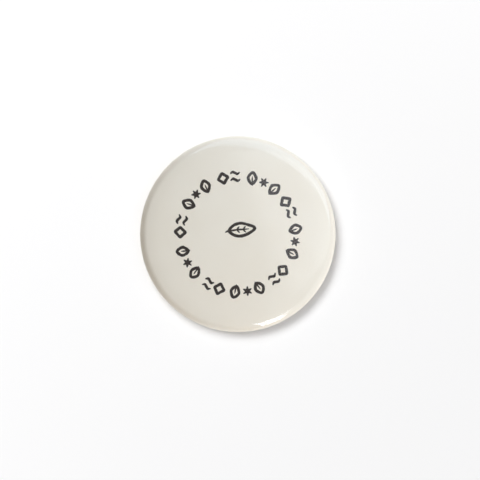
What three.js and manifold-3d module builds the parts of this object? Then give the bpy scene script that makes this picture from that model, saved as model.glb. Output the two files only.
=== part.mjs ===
// A 58 mm pin-back button badge lying face up. A tinplate shell is wrapped in a printed paper disc
// and a clear film, all three curled under at the rim, and a pressed back plate is caught in the curl.
// Two hooks lanced out of the plate hold the fixed leg of a safety pin, whose pointed arm swings open.
// Millimetres, +Z up, origin on the table under the middle of the badge.

import * as THREE from 'three';
import { mergeVertices } from 'three/addons/utils/BufferGeometryUtils.js';
import Module from 'manifold-3d';

const wasm = await Module();
wasm.setup();

// Badge body
const BADGE_RADIUS = 29;
const BADGE_HEIGHT = 6.4;
const DOME_RADIUS = 230; // of the gently bulged face
const EDGE_ROLL = 3.2; // from the face over to the side
const FOOT_ROLL = 1.4; // from the side under to the foot
const FOOT_WIDTH = 0.9; // flat ring that the badge rests on
const LIP_ROLL = 0.8; // from the foot up into the badge

// Wrapped layers, from the outside in
const FILM_THICKNESS = 0.08;
const PAPER_THICKNESS = 0.14;
const TINPLATE = 0.28;
const LAYER_GAP = 0.05;

// Back plate
const FLANGE_RADIUS = 27.9;
const FLANGE_UNDERSIDE = 0.95;
const WALL_FOOT_RADIUS = 25.2; // where the recess wall leaves the flange
const RECESS_RADIUS = 23.4; // where the wall meets the recess floor
const RECESS_DEPTH = 3.6; // height of the recess floor over the table
const WALL_CORNER = 0.35; // set back of each bend's extra point
const BEAD_RADIUS = 20.4; // stiffening ring pressed into the recess floor
const BEAD_WIDTH = 2.2;
const BEAD_RISE = 0.45;

// Safety pin
const WIRE_RADIUS = 0.45;
const COIL_RADIUS = 2; // to the middle of the wire
const COIL_X = 14;
const LEG_Z = 2.15; // middle of the fixed leg and the upper coil turn
const ARM_Z = 1.15; // middle of the arm and the lower coil turn
const LEG_END_X = -15.6;
const ARM_END_X = -16;
const POINT_LENGTH = 4;
const POINT_RADIUS = 0.06;
const JOIN = 0.05; // overlap of the lengths that make one wire

// Pin cap
const CAP_MOUTH_X = -10.2;
const CAP_END_X = -17.2;
const CAP_BOTTOM = 0.32;
const CAP_TOP = 2.95;
const CAP_WALL = 0.27;
const CAP_SIDE = 0.78; // from the middle of each leg to the outside of the cap
const CAP_CORNER = 1.3;
const GUARD_BOTTOM = 1.75; // the side wall stops here, and the arm passes under it
const GUARD_END_X = -16.6;

// Hooks lanced from the back plate
const HOOK_SPACING = 13;
const HOOK_WIDTH = 3;
const HOOK_CLEARANCE = 0.25;
const HOOK_TIP = 0.4; // how far the open end rises past the leg's middle
const WINDOW_LENGTH = 4.4;
const WINDOW_WIDTH = 3.6;

// Fineness of the facets
const RIM_SEGMENTS = 48;
const DOME_STEPS = 3;
const EDGE_STEPS = 5;
const FOOT_STEPS = 3;
const LIP_STEPS = 2;
const HOOK_STEPS = 8;
const CAP_CORNER_STEPS = 4;
const WIRE_SIDES = 8;
const LEG_STEPS = 4;
const COIL_STEP = Math.PI / 12;

const ONE_TURN = 2 * Math.PI;
const COIL_SWEEP = 0.75 * ONE_TURN;

/** Points on an arc in the half-section plane, angles in degrees. */
function arc(centreR, centreZ, radius, from, to, steps) {
  const points = [];
  for (let i = 0; i <= steps; i++) {
    const angle = THREE.MathUtils.degToRad(from + ((to - from) * i) / steps);
    points.push(new THREE.Vector2(centreR + radius * Math.cos(angle), centreZ + radius * Math.sin(angle)));
  }
  return points;
}

/** Half section of the badge's skin, `inset` below its outer surface, from the face's middle to the lip. */
function skinLine(inset) {
  const edgeR = BADGE_RADIUS - EDGE_ROLL;
  const domeZ = BADGE_HEIGHT - DOME_RADIUS;
  const domeToEdge = DOME_RADIUS - EDGE_ROLL;
  const slope = Math.asin(edgeR / domeToEdge);
  const edgeZ = domeZ + domeToEdge * Math.cos(slope);
  const shoulder = 90 - THREE.MathUtils.radToDeg(slope);
  const footR = BADGE_RADIUS - FOOT_ROLL;
  const lipR = footR - FOOT_WIDTH;
  return [
    ...arc(0, domeZ, DOME_RADIUS - inset, 90, shoulder, DOME_STEPS),
    ...arc(edgeR, edgeZ, EDGE_ROLL - inset, shoulder, 0, EDGE_STEPS).slice(1),
    ...arc(footR, FOOT_ROLL, FOOT_ROLL - inset, 0, -90, FOOT_STEPS),
    ...arc(lipR, LIP_ROLL, LIP_ROLL - inset, -90, -180, LIP_STEPS),
  ];
}

/** Turns a closed half section about the vertical axis. */
function turned(points) {
  const geometry = new THREE.LatheGeometry(points, RIM_SEGMENTS);
  geometry.rotateX(Math.PI / 2);
  return geometry;
}

/** One wrapped layer of the badge: a skin `thickness` deep whose outside lies at `inset`. */
function wrappedLayer(inset, thickness) {
  return turned([...skinLine(inset + thickness), ...skinLine(inset).reverse()]);
}

/** A three.js geometry as a solid that can be cut and joined. */
function toSolid(geometry) {
  const bare = geometry.clone();
  bare.deleteAttribute('normal');
  bare.deleteAttribute('uv');
  const merged = mergeVertices(bare, 1e-4);
  const triangles = [];
  for (let i = 0; i < merged.index.count; i += 3) {
    const corners = [0, 1, 2].map((k) => merged.index.getX(i + k));
    if (new Set(corners).size === 3) triangles.push(...corners);
  }
  const vertProperties = new Float32Array(merged.attributes.position.array);
  return new wasm.Manifold(new wasm.Mesh({ numProp: 3, vertProperties, triVerts: new Uint32Array(triangles) }));
}

/** A cut or joined solid as a three.js geometry. */
function toGeometry(solid) {
  const { vertProperties, triVerts } = solid.getMesh();
  const geometry = new THREE.BufferGeometry();
  geometry.setAttribute('position', new THREE.BufferAttribute(vertProperties, 3));
  geometry.setIndex(new THREE.BufferAttribute(triVerts, 1));
  geometry.computeVertexNormals();
  return geometry;
}

/** Extrudes a shape drawn in the Y-Z plane along X, centred on x. */
function alongX(shape, width, x) {
  const options = { depth: width, bevelEnabled: false, curveSegments: HOOK_STEPS };
  const geometry = new THREE.ExtrudeGeometry(shape, options);
  geometry.translate(0, 0, -width / 2);
  const [yAxis, zAxis, xAxis] = [[0, 1, 0], [0, 0, 1], [1, 0, 0]].map((v) => new THREE.Vector3(...v));
  geometry.applyMatrix4(new THREE.Matrix4().makeBasis(yAxis, zAxis, xAxis));
  geometry.translate(x, 0, 0);
  return geometry;
}

/** Half section of the pressed plate: its underside, or the side above when `lift` is its thickness. */
function plateLine(lift) {
  const shift = lift / 2; // keeps the sloping wall thick
  const floor = RECESS_DEPTH + lift;
  const flange = FLANGE_UNDERSIDE + lift;
  return [
    [0, floor],
    [BEAD_RADIUS - BEAD_WIDTH / 2, floor],
    [BEAD_RADIUS, floor + BEAD_RISE],
    [BEAD_RADIUS + BEAD_WIDTH / 2, floor],
    [RECESS_RADIUS - WALL_CORNER, floor],
    [RECESS_RADIUS + WALL_CORNER / 2 + shift, floor - WALL_CORNER],
    [WALL_FOOT_RADIUS - WALL_CORNER / 2 + shift, flange + WALL_CORNER],
    [WALL_FOOT_RADIUS + WALL_CORNER + shift, flange],
    [FLANGE_RADIUS, flange],
  ].map(([r, z]) => new THREE.Vector2(r, z));
}

/** A hook under the fixed leg, open towards the plate on the arm's side. */
function hookShape() {
  const inner = WIRE_RADIUS + HOOK_CLEARANCE;
  const outer = inner + TINPLATE;
  const root = RECESS_DEPTH + TINPLATE / 2;
  const shape = new THREE.Shape();
  shape.moveTo(COIL_RADIUS + outer, root);
  shape.lineTo(COIL_RADIUS + outer, LEG_Z);
  shape.absarc(COIL_RADIUS, LEG_Z, outer, 0, -Math.PI, true);
  shape.lineTo(COIL_RADIUS - outer, LEG_Z + HOOK_TIP);
  shape.lineTo(COIL_RADIUS - inner, LEG_Z + HOOK_TIP);
  shape.lineTo(COIL_RADIUS - inner, LEG_Z);
  shape.absarc(COIL_RADIUS, LEG_Z, inner, -Math.PI, 0, false);
  shape.lineTo(COIL_RADIUS + inner, root);
  shape.closePath();
  return shape;
}

/** The plate with two windows and the hooks that were lanced out of them. */
function backPlate() {
  let plate = toSolid(turned([...plateLine(0), ...plateLine(TINPLATE).reverse()]));
  const windowEdge = COIL_RADIUS + WIRE_RADIUS + HOOK_CLEARANCE;
  for (const side of [-1, 1]) {
    const x = (side * HOOK_SPACING) / 2;
    const opening = new THREE.BoxGeometry(WINDOW_WIDTH, WINDOW_LENGTH, 4 * TINPLATE);
    opening.translate(x, windowEdge - WINDOW_LENGTH / 2, RECESS_DEPTH + TINPLATE / 2);
    plate = plate.subtract(toSolid(opening)).add(toSolid(alongX(hookShape(), HOOK_WIDTH, x)));
  }
  return toGeometry(plate);
}

/** Round wire swept along a path. */
function wire(path, steps) {
  const section = new THREE.Shape();
  section.absarc(0, 0, WIRE_RADIUS, 0, 2 * Math.PI, false);
  const curveSegments = WIRE_SIDES / 2;
  return new THREE.ExtrudeGeometry(section, { extrudePath: path, steps, bevelEnabled: false, curveSegments });
}

/** A level turn of wire about the coil's axis, clockwise from above, angles in radians. */
class CoilTurn extends THREE.Curve {
  constructor(z, from, sweep) {
    super();
    Object.assign(this, { z, from, sweep });
  }

  getPoint(t, target = new THREE.Vector3()) {
    const angle = this.from - this.sweep * t;
    return target.set(COIL_X + COIL_RADIUS * Math.cos(angle), COIL_RADIUS * Math.sin(angle), this.z);
  }
}

/** Three quarters of a turn of the coil at height z, starting at angle `from`. */
function coilTurn(z, from) {
  return toSolid(wire(new CoilTurn(z, from, COIL_SWEEP), Math.round(COIL_SWEEP / COIL_STEP)));
}

/** The fixed leg and the coil's upper turn. */
function pinWire() {
  const start = new THREE.Vector3(LEG_END_X, COIL_RADIUS, LEG_Z);
  const end = new THREE.Vector3(COIL_X + JOIN, COIL_RADIUS, LEG_Z);
  const leg = toSolid(wire(new THREE.LineCurve3(start, end), LEG_STEPS));
  return toGeometry(leg.add(coilTurn(LEG_Z, ONE_TURN / 4)));
}

/** The coil's lower turn, the arm and its ground point. */
function pinArm() {
  const shankEnd = ARM_END_X + POINT_LENGTH;
  const start = new THREE.Vector3(COIL_X + JOIN, -COIL_RADIUS, ARM_Z);
  const end = new THREE.Vector3(shankEnd, -COIL_RADIUS, ARM_Z);
  const shank = toSolid(wire(new THREE.LineCurve3(start, end), LEG_STEPS));
  const point = new THREE.CylinderGeometry(POINT_RADIUS, WIRE_RADIUS, POINT_LENGTH + JOIN, WIRE_SIDES);
  point.rotateZ(Math.PI / 2);
  point.translate(shankEnd - (POINT_LENGTH - JOIN) / 2, -COIL_RADIUS, ARM_Z);
  return toGeometry(shank.add(toSolid(point)).add(coilTurn(ARM_Z, ONE_TURN / 2)));
}

/** Plan of the cap, drawn `inset` inside its outer face, with a rounded closed end. */
function capPlan(inset, mouthX) {
  const side = COIL_RADIUS + CAP_SIDE - inset;
  const end = CAP_END_X + inset;
  const corner = CAP_CORNER - inset;
  const plan = new THREE.Shape();
  plan.moveTo(mouthX, -side);
  plan.lineTo(mouthX, side);
  plan.lineTo(end + corner, side);
  plan.absarc(end + corner, side - corner, corner, Math.PI / 2, Math.PI, false);
  plan.absarc(end + corner, -side + corner, corner, Math.PI, 1.5 * Math.PI, false);
  plan.closePath();
  return plan;
}

/** A plan shape raised from `bottom` to `top`. */
function slab(shape, bottom, top) {
  const depth = top - bottom;
  const options = { depth, bevelEnabled: false, curveSegments: CAP_CORNER_STEPS };
  const geometry = new THREE.ExtrudeGeometry(shape, options);
  geometry.translate(0, 0, bottom);
  return toSolid(geometry);
}

/** The folded cap: open at its mouth, and below the guard on the arm's side. */
function pinCap() {
  const past = 1; // the cuts run this far past the faces they open
  const outside = slab(capPlan(0, CAP_MOUTH_X), CAP_BOTTOM, CAP_TOP);
  const inside = slab(capPlan(CAP_WALL, CAP_MOUTH_X + past), CAP_BOTTOM + CAP_WALL, CAP_TOP - CAP_WALL);
  const gateLength = CAP_MOUTH_X + past - GUARD_END_X;
  const gateHeight = GUARD_BOTTOM - CAP_BOTTOM - CAP_WALL;
  const gate = new THREE.BoxGeometry(gateLength, 2 * past, gateHeight);
  gate.translate(
    GUARD_END_X + gateLength / 2,
    -COIL_RADIUS - CAP_SIDE,
    CAP_BOTTOM + CAP_WALL + gateHeight / 2,
  );
  return toGeometry(outside.subtract(inside).subtract(toSolid(gate)));
}

/** A named mesh with its own material. */
function part(name, geometry, color, metalness, roughness) {
  const material = new THREE.MeshStandardMaterial({ color, metalness, roughness });
  const mesh = new THREE.Mesh(geometry, material);
  mesh.name = name;
  return mesh;
}

const paperInset = FILM_THICKNESS + LAYER_GAP;
const shellInset = paperInset + PAPER_THICKNESS + LAYER_GAP;

const group = new THREE.Group();
group.add(
  part('clear_film', wrappedLayer(0, FILM_THICKNESS), 0xf4f1ea, 0, 0.12),
  part('printed_disc', wrappedLayer(paperInset, PAPER_THICKNESS), 0xe9e3d6, 0, 0.8),
  part('front_shell', wrappedLayer(shellInset, TINPLATE), 0xbfc0c2, 1, 0.35),
  part('back_plate', backPlate(), 0xc6c7c9, 1, 0.3),
  part('pin_wire', pinWire(), 0xd2d3d6, 1, 0.22),
  part('pin_arm', pinArm(), 0xd2d3d6, 1, 0.22),
  part('pin_cap', pinCap(), 0xcfd0d2, 1, 0.28),
);

export default group;
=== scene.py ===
"""The looks of a 58 mm pin-back button badge that lies face up on a white table.

The badge is a tinplate shell wrapped in a printed paper disc and a clear film, closed by a pressed
back plate whose two lanced hooks hold a safety pin. Sizes in the classes are in millimetres, and the
meshes are in metres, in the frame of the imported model.
"""

import logging
import math
import random
from collections.abc import Callable, Sequence
from dataclasses import dataclass, field
from enum import Enum
from typing import Union

import bmesh
import bpy
from mathutils import Matrix, Vector


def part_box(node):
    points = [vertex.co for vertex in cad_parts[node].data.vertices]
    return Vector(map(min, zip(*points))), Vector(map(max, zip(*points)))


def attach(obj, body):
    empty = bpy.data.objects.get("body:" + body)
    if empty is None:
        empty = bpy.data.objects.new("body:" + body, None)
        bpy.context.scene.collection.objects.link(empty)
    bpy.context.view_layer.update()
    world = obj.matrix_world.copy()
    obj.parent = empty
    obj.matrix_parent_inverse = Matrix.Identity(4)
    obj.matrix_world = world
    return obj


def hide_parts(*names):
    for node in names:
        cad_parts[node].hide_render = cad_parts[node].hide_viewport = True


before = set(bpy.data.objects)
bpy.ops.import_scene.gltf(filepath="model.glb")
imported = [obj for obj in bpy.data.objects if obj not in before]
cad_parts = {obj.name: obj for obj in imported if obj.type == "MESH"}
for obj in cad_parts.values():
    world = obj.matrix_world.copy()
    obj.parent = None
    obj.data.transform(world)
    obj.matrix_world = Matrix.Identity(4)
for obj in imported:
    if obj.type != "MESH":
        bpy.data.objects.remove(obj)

LOG = logging.getLogger("badge")
MM = 0.001
TURN = 2 * math.pi
MERGE = 1e-4 * MM  # points closer than this are one
SHARP_FOLD = math.radians(40)  # a sharper fold is shaded as an edge
BROKEN_EDGE = 0.05  # millimetres
RIM_LINE = 27.5 * MM  # the circle on which the folds under the rim are spaced
TUCK_TOP = 2.1 * MM  # the height at which they fade out

Point2 = tuple[float, float]
Point3 = tuple[float, float, float]
Colour = tuple[float, float, float]
Socket = bpy.types.NodeSocket
Piece = bpy.types.Object
Mesh = bpy.types.Mesh
Finish = bpy.types.Material
Operand = Union["Value", float, int]


class Body(Enum):
    """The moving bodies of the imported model."""

    BADGE = "badge"
    PIN = "safety_pin"
    ARM = "pin_arm"


class Slot(Enum):
    """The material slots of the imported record."""

    FILM = "film"
    PAPER = "paper"
    SHELL = "shell_tinplate"
    PLATE = "plate_tinplate"
    WIRE = "pin_steel"
    CAP = "cap_steel"


# ---------------------------------------------------------------- node trees


class NodeTree:
    """A node tree while it is being built."""

    def __init__(self, tree: bpy.types.NodeTree) -> None:
        """Takes the tree that nodes are added to."""
        self.tree = tree

    def node(self, kind: str, settings: dict | None = None, sockets: dict | None = None) -> bpy.types.Node:
        """Adds one node.

        Args:
            kind: the node's type.
            settings: the node's own properties, which are set first.
            sockets: values or links for its inputs, by identifier or name.

        Returns:
            The new node.
        """
        node = self.tree.nodes.new(kind)
        for name, value in (settings or {}).items():
            setattr(node, name, value)
        for key, value in (sockets or {}).items():
            self.feed(self.find(node.inputs, key), value)
        return node

    @staticmethod
    def find(sockets: bpy.types.bpy_prop_collection, key: str) -> Socket:
        """The socket of a node that has an identifier, or else a name."""
        for socket in sockets:
            if socket.identifier == key:
                return socket
        return sockets[key]

    def feed(self, socket: Socket, value: object) -> None:
        """Links or sets one input.

        Args:
            socket: the input.
            value: a Value, an output socket, or a plain number, colour or vector.
        """
        if isinstance(value, Value):
            value = value.socket
        if isinstance(value, Socket):
            self.tree.links.new(value, socket)
        elif socket.type == "RGBA" and len(value) == 3:
            socket.default_value = (*value, 1.0)
        else:
            socket.default_value = value

    def math(self, operation: str, *operands: Operand) -> "Value":
        """The result of a Math node on the operands, in order."""
        node = self.node("ShaderNodeMath", {"operation": operation})
        for socket, operand in zip(node.inputs, operands):
            self.feed(socket, operand)
        return Value(self, node.outputs[0])

    def vector(self, operation: str, *operands: object) -> Socket:
        """The vector result of a Vector Math node on the operands, in order."""
        node = self.node("ShaderNodeVectorMath", {"operation": operation})
        for socket, operand in zip(node.inputs, operands):
            self.feed(socket, operand)
        return node.outputs["Vector"]

    def axes(self, vector: Socket) -> tuple["Value", "Value", "Value"]:
        """The three values of a vector."""
        node = self.node("ShaderNodeSeparateXYZ", sockets={"Vector": vector})
        x, y, z = (Value(self, output) for output in node.outputs)
        return x, y, z

    def joined(self, x: Operand, y: Operand, z: Operand) -> Socket:
        """Makes a vector of three values."""
        return self.node("ShaderNodeCombineXYZ", sockets={"X": x, "Y": y, "Z": z}).outputs["Vector"]


def operators(operation: str) -> tuple[Callable[["Value", Operand], "Value"], ...]:
    """Makes a Python operator and its reflected form, which both add a Math node.

    Args:
        operation: the node's operation.

    Returns:
        The plain method and the reflected one.
    """

    def plain(value: "Value", other: Operand) -> "Value":
        """The value comes first."""
        return value.tree.math(operation, value, other)

    def reflected(value: "Value", other: Operand) -> "Value":
        """The value comes last."""
        return value.tree.math(operation, other, value)

    return plain, reflected


@dataclass(frozen=True)
class Value:
    """A number in a node tree, on which Python's operators add Math nodes."""

    tree: NodeTree
    socket: Socket

    __add__, __radd__ = operators("ADD")
    __sub__, __rsub__ = operators("SUBTRACT")
    __mul__, __rmul__ = operators("MULTIPLY")
    __truediv__, __rtruediv__ = operators("DIVIDE")

    def root(self) -> "Value":
        """The square root."""
        return self.tree.math("SQRT", self)

    def step(self, low: float, high: float) -> "Value":
        """A smooth step.

        Args:
            low: the value that gives 0.
            high: the value that gives 1; it may be the smaller one.

        Returns:
            A value from 0 to 1.
        """
        sockets = {"Value": self, "From Min": min(low, high), "From Max": max(low, high)}
        node = self.tree.node("ShaderNodeMapRange", {"interpolation_type": "SMOOTHSTEP"}, sockets)
        rising = Value(self.tree, node.outputs["Result"])
        return rising if low < high else 1 - rising


@dataclass(frozen=True)
class Scratches:
    """Scratches one way: length and width in millimetres, turn in radians from X, amount from 0 to 1."""

    length: float
    width: float
    turn: float
    amount: float
    seed: float


class Shader(NodeTree):
    """A material's node tree, with the textures that the finishes share."""

    def __init__(self, name: str) -> None:
        """Makes an empty material."""
        self.material = bpy.data.materials.new(name)
        self.material.use_nodes = True
        super().__init__(self.material.node_tree)
        self.tree.nodes.clear()
        self.place = self.node("ShaderNodeTexCoord").outputs["Object"]

    def mapped(self, scale: Point3 = (1, 1, 1), turn: float = 0.0) -> Socket:
        """Object coordinates turned about Z by radians, and then scaled along the axes."""
        turned_node = self.node("ShaderNodeMapping", sockets={"Vector": self.place, "Rotation": (0, 0, turn)})
        sockets = {"Vector": turned_node.outputs[0], "Scale": scale}
        return self.node("ShaderNodeMapping", sockets=sockets).outputs[0]

    def noise(
        self, size: float, detail: float = 2.0, vector: Socket | None = None, seed: float = 0.0
    ) -> Value:
        """A noise from 0 to 1.

        Args:
            size: the size of its features, in millimetres.
            detail: how many finer layers it has.
            vector: its coordinates, if they aren't the plain ones.
            seed: which noise it is.

        Returns:
            The noise.
        """
        sockets = {"Vector": vector or self.place, "Scale": 1 / (size * MM), "Detail": detail, "W": seed}
        node = self.node("ShaderNodeTexNoise", {"noise_dimensions": "4D"}, sockets)
        return Value(self, node.outputs["Fac"])

    def scratches(self, kind: Scratches) -> Value:
        """Sparse fine scratches that lie one way: 1 on a scratch and 0 elsewhere."""
        stretched = self.mapped((kind.width / kind.length, 1, 1), kind.turn)
        low, high = 0.74 - 0.07 * kind.amount, 0.80 - 0.07 * kind.amount
        line = self.noise(kind.width, 0.0, stretched, kind.seed).step(low, high)
        patch = self.noise(kind.length * 2, 1.0, seed=kind.seed + 7.0).step(0.38, 0.7)
        return line * patch

    def gathers(self, spacing: float = 1.3, seed: float = 11.0) -> Value:
        """Folds that run inwards under the badge's rim, where a wrapped sheet is drawn together.

        Args:
            spacing: how far apart they are along the rim, in millimetres.
            seed: which folds they are.

        Returns:
            0 where the sheet lies smooth and up to 1 in a fold.
        """
        x, y, z = self.axes(self.place)
        out = (x * x + y * y).root() / RIM_LINE
        folds = self.noise(spacing, 1.0, self.joined(x / out, y / out, 0), seed).step(0.42, 0.72)
        return folds * z.step(TUCK_TOP, TUCK_TOP / 3)

    def mix(self, factor: Operand, first: object, second: object) -> Socket:
        """Mixes two colours.

        Args:
            factor: how much of the second colour there is.
            first: a colour or a link.
            second: a colour or a link.

        Returns:
            The colour output.
        """
        sockets = {"Factor_Float": factor, "A_Color": first, "B_Color": second}
        return self.find(self.node("ShaderNodeMix", {"data_type": "RGBA"}, sockets).outputs, "Result_Color")

    def bump(self, height: Value, depth: float, under: Socket | None = None) -> Socket:
        """Turns a height into a normal.

        Args:
            height: the relief, from 0 to 1.
            depth: how high 1 is, in millimetres.
            under: the normal that it adds to.

        Returns:
            The normal output.
        """
        sockets = {"Height": height, "Distance": depth * MM}
        if under is not None:
            sockets["Normal"] = under
        return self.node("ShaderNodeBump", sockets=sockets).outputs["Normal"]

    def principled(self, **sockets: object) -> Socket:
        """A Principled shader; underscores in the names stand for spaces."""
        named = {name.replace("_", " "): value for name, value in sockets.items()}
        return self.node("ShaderNodeBsdfPrincipled", sockets=named).outputs["BSDF"]

    def finished(self, surface: Socket) -> Finish:
        """Puts a shader on the material's output, and returns the material."""
        self.node("ShaderNodeOutputMaterial", sockets={"Surface": surface})
        return self.material


class GeometryTree(NodeTree):
    """A geometry tree with named inputs, which turns a base object into a plain mesh."""

    def __init__(self, name: str) -> None:
        """Makes a tree with a geometry input."""
        super().__init__(bpy.data.node_groups.new(name, "GeometryNodeTree"))
        self.inputs: dict[str, bpy.types.NodeTreeInterfaceSocket] = {}
        self.input_node = self.node("NodeGroupInput")
        self.base = self.declare("Geometry", "NodeSocketGeometry")

    def declare(self, name: str, kind: str) -> Socket:
        """Adds a named input of a socket type, and returns the link that carries it into the tree."""
        self.inputs[name] = self.tree.interface.new_socket(name, in_out="INPUT", socket_type=kind)
        return self.input_node.outputs[name]

    def number(self, name: str, kind: str = "NodeSocketFloat") -> Value:
        """Adds a named number input."""
        return Value(self, self.declare(name, kind))

    def step_on(self, kind: str, geometry: Socket, **sockets: object) -> Socket:
        """Adds a node that passes the geometry through.

        Args:
            kind: the node's type.
            geometry: what it works on.
            sockets: its other inputs; underscores stand for spaces.

        Returns:
            Its geometry output.
        """
        named = {name.replace("_", " "): value for name, value in sockets.items()}
        node = self.node(kind, sockets=named)
        self.feed(node.inputs[0], geometry)
        return node.outputs[0]

    def finish(self, geometry: Socket) -> None:
        """Realizes, dresses and outputs the last step's geometry."""
        self.tree.interface.new_socket("Geometry", in_out="OUTPUT", socket_type="NodeSocketGeometry")
        material = self.declare("Material", "NodeSocketMaterial")
        real = self.step_on("GeometryNodeRealizeInstances", geometry)
        dressed = self.step_on("GeometryNodeSetMaterial", real, Material=material)
        self.node("NodeGroupOutput", sockets={"Geometry": dressed})

    def make(self, base: Piece, values: dict[str, object]) -> Piece:
        """Runs the tree on a base object and keeps the result as its plain mesh.

        Args:
            base: the object, whose mesh is replaced.
            values: the inputs by name.

        Returns:
            The same object.
        """
        modifier = base.modifiers.new(self.tree.name, "NODES")
        modifier.node_group = self.tree
        for name, value in values.items():
            modifier[self.inputs[name].identifier] = value
        return applied(base)


class StrokeTree(GeometryTree):
    """Sweeps a round section along every line of the base mesh.

    The base mesh is loose edges with a half_width on each point. The strokes may be copied round the
    Z axis, drawn with an unsteady hand, flattened, and draped over the badge's domed face.
    """

    HAND = 2.2  # over how many millimetres the hand drifts
    PRESSURE = 0.7  # and over how many its pressure changes

    def __init__(self) -> None:
        """Builds the tree."""
        super().__init__("round_strokes")
        repeats = self.number("Repeats", "NodeSocketInt")
        spacing = self.number("Point Spacing")
        sides = self.number("Sides", "NodeSocketInt")
        wobble = self.number("Wobble")
        uneven = self.number("Unevenness")
        seed = self.number("Seed")
        copies = self._copied(self.base, repeats, self.number("Stagger"), seed)
        line = self.step_on("GeometryNodeMeshToCurve", copies)
        sockets = {"Curve": line, "Length": spacing}
        steady = self.node("GeometryNodeResampleCurve", {"mode": "LENGTH"}, sockets).outputs[0]
        hand = self.vector("SUBTRACT", self._noise(self.HAND, seed).outputs["Color"], (0.5, 0.5, 0.5))
        shift = self.vector("MULTIPLY", hand, (2, 2, 0))
        shift = self.vector("MULTIPLY", shift, self.joined(wobble, wobble, 0))
        drawn = self.step_on("GeometryNodeSetPosition", steady, Offset=shift)
        sockets = {"Name": "half_width"}
        width = self.node("GeometryNodeInputNamedAttribute", {"data_type": "FLOAT"}, sockets)
        pressure = Value(self, self._noise(self.PRESSURE, seed + 3.0).outputs["Fac"])
        scale = Value(self, width.outputs["Attribute"]) * (1 + (pressure - 0.5) * 2 * uneven)
        ring = self.node("GeometryNodeCurvePrimitiveCircle", sockets={"Resolution": sides, "Radius": 1.0})
        sockets = {"Curve": drawn, "Profile Curve": ring.outputs[0], "Scale": scale, "Fill Caps": True}
        swept = self.node("GeometryNodeCurveToMesh", sockets=sockets)
        laid = self.step_on("GeometryNodeSetPosition", swept.outputs[0], Position=self._draped())
        smooth = self.step_on("GeometryNodeSetShadeSmooth", laid)
        self.finish(smooth)

    def _copied(self, geometry: Socket, repeats: Value, stagger: Value, seed: Value) -> Socket:
        """Copies the lines round the Z axis.

        Args:
            geometry: the lines.
            repeats: how many copies there are.
            stagger: the most that a copy is off its even place, in radians.
            seed: which copies are off, and how far.

        Returns:
            All the copies as one mesh.
        """
        points = self.node("GeometryNodeMeshLine", sockets={"Count": repeats, "Offset": (0, 0, 0)})
        index = Value(self, self.node("GeometryNodeInputIndex").outputs[0])
        random_sockets = {"Min_001": -1.0, "Max_001": 1.0, "Seed": seed}
        random_node = self.node("FunctionNodeRandomValue", sockets=random_sockets)
        off = Value(self, self.find(random_node.outputs, "Value_001"))
        turn = self.joined(0, 0, index * TURN / repeats + off * stagger)
        sockets = {"Points": points.outputs[0], "Instance": geometry, "Rotation": turn}
        copies = self.node("GeometryNodeInstanceOnPoints", sockets=sockets)
        return self.step_on("GeometryNodeRealizeInstances", copies.outputs[0])

    def _noise(self, size: float, seed: Value) -> bpy.types.Node:
        """A noise over the lines, with features of a size in millimetres."""
        sockets = {"Scale": 1 / (size * MM), "Detail": 1.0, "W": seed}
        return self.node("ShaderNodeTexNoise", {"noise_dimensions": "4D"}, sockets)

    def _draped(self) -> Socket:
        """Flattens what is swept, and lays it on a dome when Drape is 1.

        Returns:
            The new position.
        """
        flatness = self.number("Flatness")
        drape = self.number("Drape")
        height = self.number("Face Height")
        radius = self.number("Dome Radius")
        x, y, z = self.axes(self.node("GeometryNodeInputPosition").outputs[0])
        dome = (radius * radius - x * x - y * y).root() - radius + height
        return self.joined(x, y, z * flatness + dome * drape)


# ---------------------------------------------------------------- finishes


@dataclass(frozen=True)
class ClearFilm:
    """Glossy polyester film, with a slight wave and fine handling scratches."""

    roughness: float = 0.11
    smudged: float = 0.07
    scratched: float = 0.15
    tint: Colour = (0.99, 0.988, 0.98)
    ior: float = 1.52
    wave: float = 0.012
    wave_length: float = 9.0
    smudge_size: float = 6.0
    fold: float = 0.09
    scratch: float = 0.0015
    long_marks: Scratches = Scratches(5.0, 0.05, 0.5, 0.6, 1.0)
    short_marks: Scratches = Scratches(4.0, 0.04, -1.2, 0.5, 5.0)

    def material(self) -> Finish:
        """Builds the film: see-through, with a surface reflection on its outward sides."""
        shader = Shader("clear_polyester_film")
        lines = shader.scratches(self.long_marks) + shader.scratches(self.short_marks)
        smudge = shader.noise(self.smudge_size, 3.0, seed=2.0).step(0.45, 0.75)
        wave = shader.bump(shader.noise(self.wave_length, 1.0, seed=4.0), self.wave)
        folded = shader.bump(shader.gathers(), -self.fold, wave)
        normal = shader.bump(lines, -self.scratch, folded)
        roughness = self.roughness + self.smudged * smudge + self.scratched * lines
        gloss = shader.principled(Base_Color=(1, 1, 1), Metallic=1.0, Roughness=roughness, Normal=normal)
        clear = shader.node("ShaderNodeBsdfTransparent", sockets={"Color": self.tint}).outputs[0]
        fresnel = Value(shader, shader.node("ShaderNodeFresnel", sockets={"IOR": self.ior}).outputs[0])
        behind = Value(shader, shader.node("ShaderNodeNewGeometry").outputs["Backfacing"])
        share = fresnel * (1 - behind)
        mixed = shader.node("ShaderNodeMixShader", sockets={"Fac": share})
        shader.feed(mixed.inputs[1], clear)
        shader.feed(mixed.inputs[2], gloss)
        return shader.finished(mixed.outputs[0])


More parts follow.
